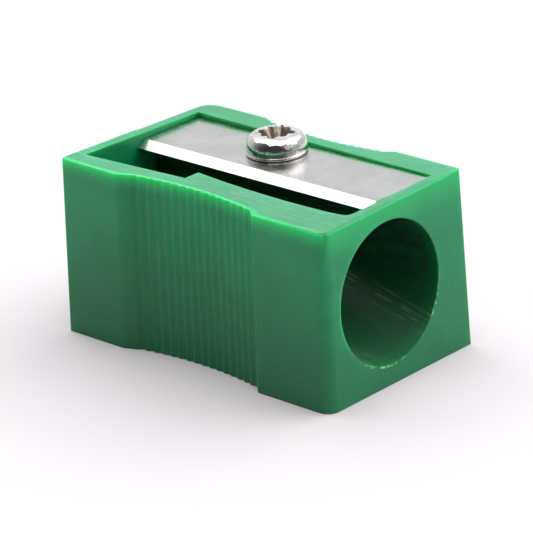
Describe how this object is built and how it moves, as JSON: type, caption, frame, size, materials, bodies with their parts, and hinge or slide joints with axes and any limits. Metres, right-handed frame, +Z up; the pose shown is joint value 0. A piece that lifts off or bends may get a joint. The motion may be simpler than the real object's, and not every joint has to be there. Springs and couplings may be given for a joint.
{
  "type": "pencil sharpener",
  "caption": "Block pencil sharpener for thick pencils: fluted moulded body with a conical bore, ground steel blade in a recess on top, pan-head fixing screw.",
  "frame": {"origin": "middle of the flat base", "axes": "+X out of the mouth where the pencil goes in, -Y the near side with the shavings slot, +Z up through the blade's screw"},
  "size_m": [0.0268, 0.017, 0.0155],
  "materials": {
    "body_plastic": "green injection-moulded plastic, slightly translucent, satin gloss",
    "blade_steel": "ground flat, polished bevel",
    "screw_plating": "bright nickel plating"
  },
  "bodies": {
    "body": {"sharpener_body": "body_plastic"},
    "blade": {"blade": "blade_steel"},
    "screw": {"blade_screw": "screw_plating"}
  },
  "joints": [
    {"name": "blade_lift", "type": "slide", "parent": "body", "child": "blade", "axis": [-0.0192, 0, 0.9998], "range_m": [0, 0.0046]},
    {"name": "screw_turn", "type": "hinge", "parent": "blade", "child": "screw", "pos_m": [-0.0013, 0.0033, 0.01332], "axis": [-0.0192, 0, 0.9998], "range_deg": [0, 1800]}
  ],
  "couplings": [
    {"joint": "blade_lift", "follows": "screw_turn", "m_per_rad": 0.00014324}
  ]
}
